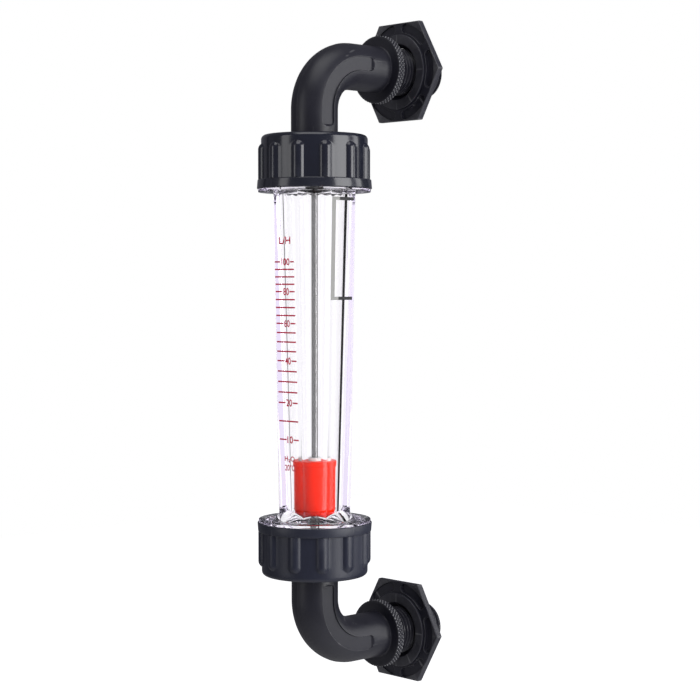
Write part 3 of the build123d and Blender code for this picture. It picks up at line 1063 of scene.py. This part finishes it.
def tube_stations(sizes):
    """Rings of the tube's skin, up its outside and down its bore."""
    end = FLANGE_FACE
    outer, inner = flange_levels(sizes)
    flare_low = sizes.flare_lower - inner
    flare_high = inner - sizes.flare_upper
    crest, rim, edge = sizes.thread_radius, sizes.flange_radius, sizes.flange_edge
    seat, floor_level = sizes.seat_radius, end - sizes.seat_depth
    steps = round((end - outer) / sizes.thread_pitch * 8)
    flange = low_corner(rim, inner, edge) + high_corner(rim, outer, edge) + [(crest, outer)]
    stations = rings("plain", [(seat, -end)])
    stations += level_rings("thread", crest, spread(-end, -outer, steps))
    stations += rings("plain", [(r, -z) for r, z in reversed(flange)])
    stations += level_rings("flare", 0.0, spread(-inner, flare_low + edge, 18))
    stations += level_rings("facet", 0.0, spread(flare_low + edge, flare_high - edge, 12))
    stations += level_rings("flare", 0.0, spread(flare_high - edge, inner, 8) + [inner])
    stations += rings("plain", flange)
    stations += level_rings("thread", crest, spread(outer, end, steps)[1:] + [end])
    stations += rings("plain", [(seat, end), (seat, floor_level)])
    for down in spread(0.0, 1.0, 12) + [1.0]:
        radius = sizes.bore_upper + (sizes.bore_lower - sizes.bore_upper) * down
        stations.append((radius, floor_level + (sizes.taper_low - floor_level) * down, "plain"))
    flared = (sizes.taper_low - sizes.bore_flare_height, -floor_level)
    stations += level_rings("plain", sizes.bore_flare_radius, flared)
    return stations + rings("plain", [(seat, -floor_level)])


def tube_skin(sizes):
    """The metering tube as one closed skin."""
    outer = flange_levels(sizes)[0]
    pitch = tau / 8
    corner = radians(1.6)
    low, high = pitch / 2 - corner, pitch / 2 + corner
    columns = []
    for facet in range(8):
        middle = facet * pitch
        columns += spread(middle - low, middle + low, 14) + spread(middle + low, middle + high, 6)

    def followed(turn, height):
        """Moves the columns of a corner to where the corner is at this height."""
        quarter = round(turn / (pi / 2)) * pi / 2
        off = abs(turn - quarter)
        start, end = corner_turns(sizes, height)
        if off < low:
            off *= start / low
        elif off > high:
            off = pitch - (pitch - off) * (pitch - end) / (pitch - high)
        else:
            off = start + (end - start) * (off - low) / (high - low)
        return quarter + (off if turn > quarter else -off)

    def place(turn, station):
        radius, height, kind = station
        if kind in ("facet", "flare"):
            turn = followed(turn, height)
            radius = octagon_radius(sizes, turn, height)
        if kind == "flare":
            radius = soft_max(radius, flare_radius(sizes, height), FLARE_FILLET)
        turn += sizes.turn
        if kind == "thread":
            near = (abs(height) - outer) / sizes.thread_pitch
            depth = thread_groove(sizes, height, turn)
            over = max(0.0, abs(height) - FLANGE_FACE + sizes.chamfer)
            radius = min(radius - depth * smooth_step(near), sizes.thread_radius - over)
        return round_point(radius, turn, height)

    return rolled(columns, tube_stations(sizes), place)


class ROTAMETER_OT_tube(bpy.types.Operator):
    """Make the clear metering tube"""

    bl_idname = "rotameter.tube"
    bl_label = "Metering tube"

    def execute(self, context):
        sizes = context.scene.rotameter_tube
        tube = finish_piece(
            tube_skin(sizes), "clear_tube", "meter", clear_acrylic(sizes.tint),
            replaced=("metering_tube",), crease=25.0,
        )
        tube.visible_shadow = False
        return {"FINISHED"}


# Float, bush and rod


def float_outline(sizes):
    """Half section of the float: recess, rounded foot, body, lip and top."""
    low, high = FLOAT_LOW.z, FLOAT_HIGH.z
    edge, recess, radius = sizes.edge, sizes.recess_radius, sizes.radius
    lip_bottom = high - sizes.lip_height
    bore = sizes.bush_radius + SEAT_GAP
    return [
        (bore, BUSH_LOW.z), (recess, BUSH_LOW.z), (recess, low + edge), (recess + edge, low),
        *low_corner(radius, low, sizes.foot_round, 10),
        (radius, lip_bottom - edge / 2), (radius + edge / 2, lip_bottom),
        *low_corner(sizes.lip_radius, lip_bottom, edge),
        *high_corner(sizes.lip_radius, high, edge), (bore, high),
    ]


def bush_outline(sizes):
    """Half section of the guide bush."""
    edge, bore, top = sizes.edge, sizes.bush_bore, BUSH_HIGH.z
    return [
        (bore, BUSH_LOW.z), (sizes.bush_radius, BUSH_LOW.z),
        *high_corner(sizes.bush_radius, top, edge), (bore + edge, top), (bore, top - edge),
    ]


def rod_outline(sizes):
    """Half section of the guide rod with its groove."""
    edge, radius, low, high = sizes.edge, sizes.rod_radius, rod_low.z, rod_high.z
    groove = radius - sizes.groove_depth
    groove_top = BUSH_LOW.z + SEAT_GAP
    groove_low = groove_top - sizes.groove_width
    return [
        (0.0, low), (radius - edge, low), (radius, low + edge), (radius, groove_low),
        (groove, groove_low), (groove, groove_top), (radius, groove_top),
        (radius, high - edge), (radius - edge, high), (0.0, high),
    ]


class ROTAMETER_OT_float(bpy.types.Operator):
    """Make the float, its guide bush and the guide rod"""

    bl_idname = "rotameter.float"
    bl_label = "Float and rod"

    def execute(self, context):
        sizes = context.scene.rotameter_float
        red = turned_plastic("float_plastic", sizes.tint, (0.3, 0.42), 0.09)
        white = turned_plastic("bush_plastic", sizes.bush_tint, (0.4, 0.55), 0.5)
        finish_piece(
            turned(float_outline(sizes), 96), "float_turned", "float", red,
            replaced=("float_body",),
        )
        finish_piece(
            turned(bush_outline(sizes), 64), "guide_bush", "float", white,
            replaced=("float_guide_bush",),
        )
        finish_piece(
            turned(rod_outline(sizes), 48, closed=False), "drawn_rod", "meter",
            drawn_steel(sizes.rod_tint), replaced=("guide_rod",),
        )
        return {"FINISHED"}


class ROTAMETER_OT_fittings(bpy.types.Operator):
    """Give the rod holders, seals, bumper and stop clip their finish"""

    bl_idname = "rotameter.fittings"
    bl_label = "Fittings"

    def execute(self, context):
        rubber = black_rubber()
        holder = moulded_plastic("holder_plastic", (0.016, 0.016, 0.018), (0.4, 0.5), 0.3, 0.3)
        steel = drawn_steel(context.scene.rotameter_float.rod_tint)
        finishes = {
            "upper_rod_holder": holder,
            "lower_rod_holder": holder,
            "upper_tube_seal": rubber,
            "lower_tube_seal": rubber,
            "float_bumper": rubber,
            "float_stop_clip": steel,
        }
        for node, material in finishes.items():
            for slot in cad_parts[node].material_slots:
                slot.material = material
        return {"FINISHED"}


# Scale and label

# Numbers of the scale and their heights in mm
SCALE_MARKS = (
    (10, -35.0), (20, -19.4), (30, -10.5), (40, -1.7), (50, 6.3),
    (60, 14.1), (70, 20.8), (80, 27.5), (90, 33.7), (100, 40.0),
)
NUMBERED = (10, 20, 40, 60, 80, 100)
UNIT_LINE = ("L/H", 49.0)
NOTE_LINES = (("H₂O", -43.3), ("20°C", -46.9))


def lettering(text, width, height):
    """Bold extruded letters of a width and height, in the XY plane about the origin."""
    curve = bpy.data.curves.new("lettering", "FONT")
    curve.body = text
    curve.align_x = "CENTER"
    curve.align_y = "CENTER"
    curve.size = 1.0
    curve.extrude = 0.5
    curve.offset = 0.02
    curve.resolution_u = 4
    holder = bpy.data.objects.new("lettering", curve)
    bpy.context.scene.collection.objects.link(holder)
    bpy.context.view_layer.update()
    mesh = bpy.data.meshes.new_from_object(holder)
    bpy.data.objects.remove(holder)
    bm = bmesh.new()
    bm.from_mesh(mesh)
    bpy.data.meshes.remove(mesh)
    ups = [v.co.y for v in bm.verts]
    acrosses = [v.co.x for v in bm.verts]
    low, high, left, right = min(ups), max(ups), min(acrosses), max(acrosses)
    bmesh.ops.translate(bm, vec=(-(left + right) / 2, -(low + high) / 2, 0.0), verts=bm.verts)
    stretch = (width / (right - left), height / (high - low), 1.0)
    bmesh.ops.scale(bm, vec=stretch, verts=bm.verts)
    bmesh.ops.remove_doubles(bm, verts=bm.verts, dist=MERGE)
    return bm


def add_letters(flat, text, width, height, across, up):
    """Adds letters to flat print, with their middle at a place."""
    letters = lettering(text, width, height)
    bmesh.ops.translate(letters, vec=(across, up, 0.0), verts=letters.verts)
    join(flat, letters)


def add_bar(flat, left, right, low, high):
    """Adds a bar to flat print."""
    bm = bmesh.new()
    bmesh.ops.create_cube(bm, size=1.0)
    bmesh.ops.scale(bm, vec=(right - left, high - low, 1.0), verts=bm.verts)
    middle = ((left + right) / 2, (low + high) / 2, 0.0)
    bmesh.ops.translate(bm, vec=middle, verts=bm.verts)
    join(flat, bm)


def lay_on_flat(bm, tube, prints, quarter):
    """Moves flat print, across in X and up in Y, onto one of the tube's flats."""
    for vert in bm.verts:
        across, up, out = vert.co
        level = max(flat_distances(tube, up)[0], flare_radius(tube, up))
        level += prints.lift + (out + 0.5) * prints.thickness
        vert.co = (across, -level, up)
    turn = Matrix.Rotation(quarter * pi / 2 + tube.turn, 3, "Z")
    bmesh.ops.rotate(bm, cent=(0.0, 0.0, 0.0), matrix=turn, verts=bm.verts)
    return bm


def scale_print(prints):
    """All the marks, numbers and unit notes of the scale."""
    flat = bmesh.new()
    half = prints.mark_width / 2
    line = prints.mark_line / 2
    shift = prints.text_shift
    heights = [z * MM for value, z in SCALE_MARKS]
    for below, above in zip(heights, heights[1:]):
        height = (below + above) / 2
        add_bar(flat, -half, half, height - line, height + line)
    for value, z in SCALE_MARKS:
        height = z * MM
        spans = [(-half, half)]
        if value in NUMBERED:
            width = prints.digit_width * len(str(value))
            add_letters(flat, str(value), width, prints.number_height, shift, height)
            reach = width / 2 + prints.number_gap
            spans = [(-half, shift - reach), (shift + reach, half)]
        for left, right in spans:
            add_bar(flat, left, right, height - line, height + line)
    text, z = UNIT_LINE
    add_letters(flat, text, prints.unit_width, prints.unit_height, shift, z * MM)
    for text, z in NOTE_LINES:
        add_letters(flat, text, prints.note_width, prints.note_height, 0.0, z * MM)
    for vert in flat.verts:
        vert.co.x += half - prints.mark_left - prints.mark_lean * vert.co.y
    return flat


class ROTAMETER_OT_print(bpy.types.Operator):
    """Print the scale and the bare label frame on the tube"""

    bl_idname = "rotameter.print"
    bl_label = "Scale and label"

    def execute(self, context):
        prints = context.scene.rotameter_print
        tube = context.scene.rotameter_tube
        marks = lay_on_flat(scale_print(prints), tube, prints, 0)
        finish_piece(marks, "scale_print", "meter", printing_ink("crimson_ink", prints.ink))
        low, high = prints.label_bottom, prints.label_top
        side = prints.label_near + prints.border
        black = side + prints.border
        rows = ((high - prints.bar, high), (low, low + prints.bar))
        border, bars = bmesh.new(), bmesh.new()
        add_bar(border, prints.label_near, side, low, high)
        for row in rows:
            add_bar(border, side, black, *row)
            add_bar(bars, black, prints.label_far, *row)
        for flat, name, ink in (
            (border, "label_border", printing_ink("grey_ink", prints.border_ink)),
            (bars, "label_bars", printing_ink("black_ink", prints.bar_ink)),
        ):
            finish_piece(lay_on_flat(flat, tube, prints, 1), name, "meter", ink)
        return {"FINISHED"}


# Stage

# Degrees to the right of the camera, rise in degrees, distance, width, height and brightness
LAMPS = (
    ("key", 61, 4, 0.95, 0.62, 0.95, 3.7),
    ("fill", -63, 6, 1.0, 0.34, 0.9, 1.4),
    ("top", -10, 72, 0.9, 0.7, 0.7, 1.6),
    ("rim", 104, 10, 1.1, 0.45, 0.9, 2.4),
    ("front", 30, 10, 1.1, 0.6, 0.6, 3.4),
)
# Degrees to the right of the camera, distance, width and height
CARDS = (
    ("right_card", 122, 0.5, 0.27, 1.0),
    ("left_card", -117, 0.5, 0.06, 1.0),
)


def studio_world(room_colour):
    """White behind the meter, also as seen through its tube, and a dim room round it."""
    world = bpy.data.worlds.new("studio")
    bpy.context.scene.world = world
    world.use_nodes = True
    tree = world.node_tree
    tree.nodes.clear()
    room = added(tree, "Background", Color=opaque(room_colour)).outputs["Background"]
    white = added(tree, "Background", Color=WHITE).outputs["Background"]
    clear = combined(tree, "MAXIMUM", clear_rays(tree), caught_rays(tree))
    # Light that a piece inside the tube scatters comes from the room instead
    depth = added(tree, "LightPath").outputs["Diffuse Depth"]
    inside = combined(tree, "GREATER_THAN", depth, 0.5)
    clear = combined(tree, "GREATER_THAN", combined(tree, "SUBTRACT", clear, inside), 0.5)
    blended(tree, added(tree, "OutputWorld"), clear, room, white)


def floor_material(tint):
    """Pale floor that reads white to the camera and through the tube."""
    material, tree, shader = new_material("pale_floor")
    feed(
        tree, shader, Base_Color=opaque(tint), Roughness=0.8,
        Emission_Color=WHITE, Emission_Strength=clear_rays(tree),
    )
    return material


def bearing(turn, rise=0.0):
    """Direction of a turn to the right of straight ahead and a rise."""
    return Vector((sin(turn) * cos(rise), -cos(turn) * cos(rise), sin(rise)))


def spot_at(degrees_right, rise, distance):
    """A place round the tube, by its bearing from the camera."""
    turn = bpy.context.scene.rotameter_stage.camera_azimuth + radians(degrees_right)
    return AXIS_OFFSET + bearing(turn, radians(rise)) * distance


def aimed(name, data, spot, view):
    """A lamp or camera at a spot, looking along a direction."""
    holder = bpy.data.objects.new(name, data)
    holder.location = spot
    holder.rotation_euler = view.to_track_quat("-Z", "Y").to_euler()
    bpy.context.scene.collection.objects.link(holder)
    return holder


def softbox(name, degrees_right, rise, distance, width, height, brightness):
    """An area lamp that faces the meter."""
    lamp = bpy.data.lights.new(name, "AREA")
    lamp.shape = "RECTANGLE"
    lamp.size = width
    lamp.size_y = height
    lamp.energy = brightness * pi * width * height
    spot = spot_at(degrees_right, rise, distance)
    holder = aimed(name, lamp, spot, AXIS_OFFSET - spot)
    # Seen through the tube, the lamps but for the key would veil the white behind it
    holder.visible_transmission = name == "key"
    # The front lamp lights the meter without a highlight of its own
    holder.visible_glossy = name != "front"


def sheet(name, width, height, place, material):
    """A flat sheet of the stage."""
    bm = bmesh.new()
    bmesh.ops.create_grid(bm, x_segments=1, y_segments=1, size=0.5)
    bmesh.ops.scale(bm, vec=(width, height, 1.0), verts=bm.verts)
    bmesh.ops.transform(bm, matrix=place, verts=bm.verts)
    return placed(bm, name, material)


def dark_card(name, degrees_right, distance, width, height):
    """A black card beside the background, which draws the tube's edges as dark lines."""
    spot = spot_at(degrees_right, 0.0, distance)
    facing = (AXIS_OFFSET - spot).to_track_quat("Z", "Y").to_matrix().to_4x4()
    material, tree, shader = new_material(name)
    feed(tree, shader, Base_Color=(0.01, 0.01, 0.01, 1.0), Roughness=0.9)
    card = sheet(name, width, height, Matrix.Translation(spot) @ facing, material)
    card.visible_camera = False
    card.visible_shadow = False
    card.visible_diffuse = False


def photo_camera(settings):
    """The camera at the photograph's angle and distance."""
    turn = settings.camera_azimuth
    spot = AXIS_OFFSET + bearing(turn) * settings.camera_distance
    spot += bearing(turn + pi / 2) * settings.camera_side
    spot.z += settings.camera_height
    camera = bpy.data.cameras.new("camera")
    camera.lens = settings.lens
    camera.sensor_width = 36.0
    camera.clip_start = 0.01
    view = -bearing(turn, -settings.camera_pitch)
    bpy.context.scene.camera = aimed("camera", camera, spot, view)


class ROTAMETER_OT_stage(bpy.types.Operator):
    """Set the floor, the lamps and the camera"""

    bl_idname = "rotameter.stage"
    bl_label = "Stage"

    def execute(self, context):
        settings = context.scene.rotameter_stage
        context.scene.view_settings.view_transform = "Standard"
        size = settings.floor_size
        place = Matrix.Translation((0.0, 0.0, cad_box[0].z - settings.floor_gap))
        ground = sheet("floor", size, size, place, floor_material(settings.floor_tint))
        studio_world(settings.room)
        for lamp in LAMPS:
            softbox(*lamp)
        for card in CARDS:
            dark_card(*card)
        photo_camera(settings)
        return {"FINISHED"}


class ROTAMETER_PT_panel(bpy.types.Panel):
    """Sidebar panel that lists the meter's pieces"""

    bl_label = "Rotameter"
    bl_idname = "ROTAMETER_PT_panel"
    bl_space_type = "VIEW_3D"
    bl_region_type = "UI"
    bl_category = "Rotameter"

    def draw(self, context):
        for operator in OPERATORS:
            self.layout.operator(operator.bl_idname)


OPERATORS = (
    ROTAMETER_OT_stage,
    ROTAMETER_OT_elbows,
    ROTAMETER_OT_union_nuts,
    ROTAMETER_OT_panel_nuts,
    ROTAMETER_OT_tube,
    ROTAMETER_OT_float,
    ROTAMETER_OT_fittings,
    ROTAMETER_OT_print,
)


def register():
    for name, group in PROPERTY_GROUPS.items():
        bpy.utils.register_class(group)
        setattr(bpy.types.Scene, name, bpy.props.PointerProperty(type=group))
    for operator in OPERATORS:
        bpy.utils.register_class(operator)
    bpy.utils.register_class(ROTAMETER_PT_panel)


def unregister():
    bpy.utils.unregister_class(ROTAMETER_PT_panel)
    for operator in reversed(OPERATORS):
        bpy.utils.unregister_class(operator)
    for name, group in PROPERTY_GROUPS.items():
        delattr(bpy.types.Scene, name)
        bpy.utils.unregister_class(group)


def main():
    """Builds every piece."""
    register()
    bpy.ops.rotameter.stage()
    bpy.ops.rotameter.elbows()
    bpy.ops.rotameter.union_nuts()
    bpy.ops.rotameter.panel_nuts()
    bpy.ops.rotameter.tube()
    bpy.ops.rotameter.float()
    bpy.ops.rotameter.fittings()
    bpy.ops.rotameter.print()


if __name__ == "__main__":
    main()
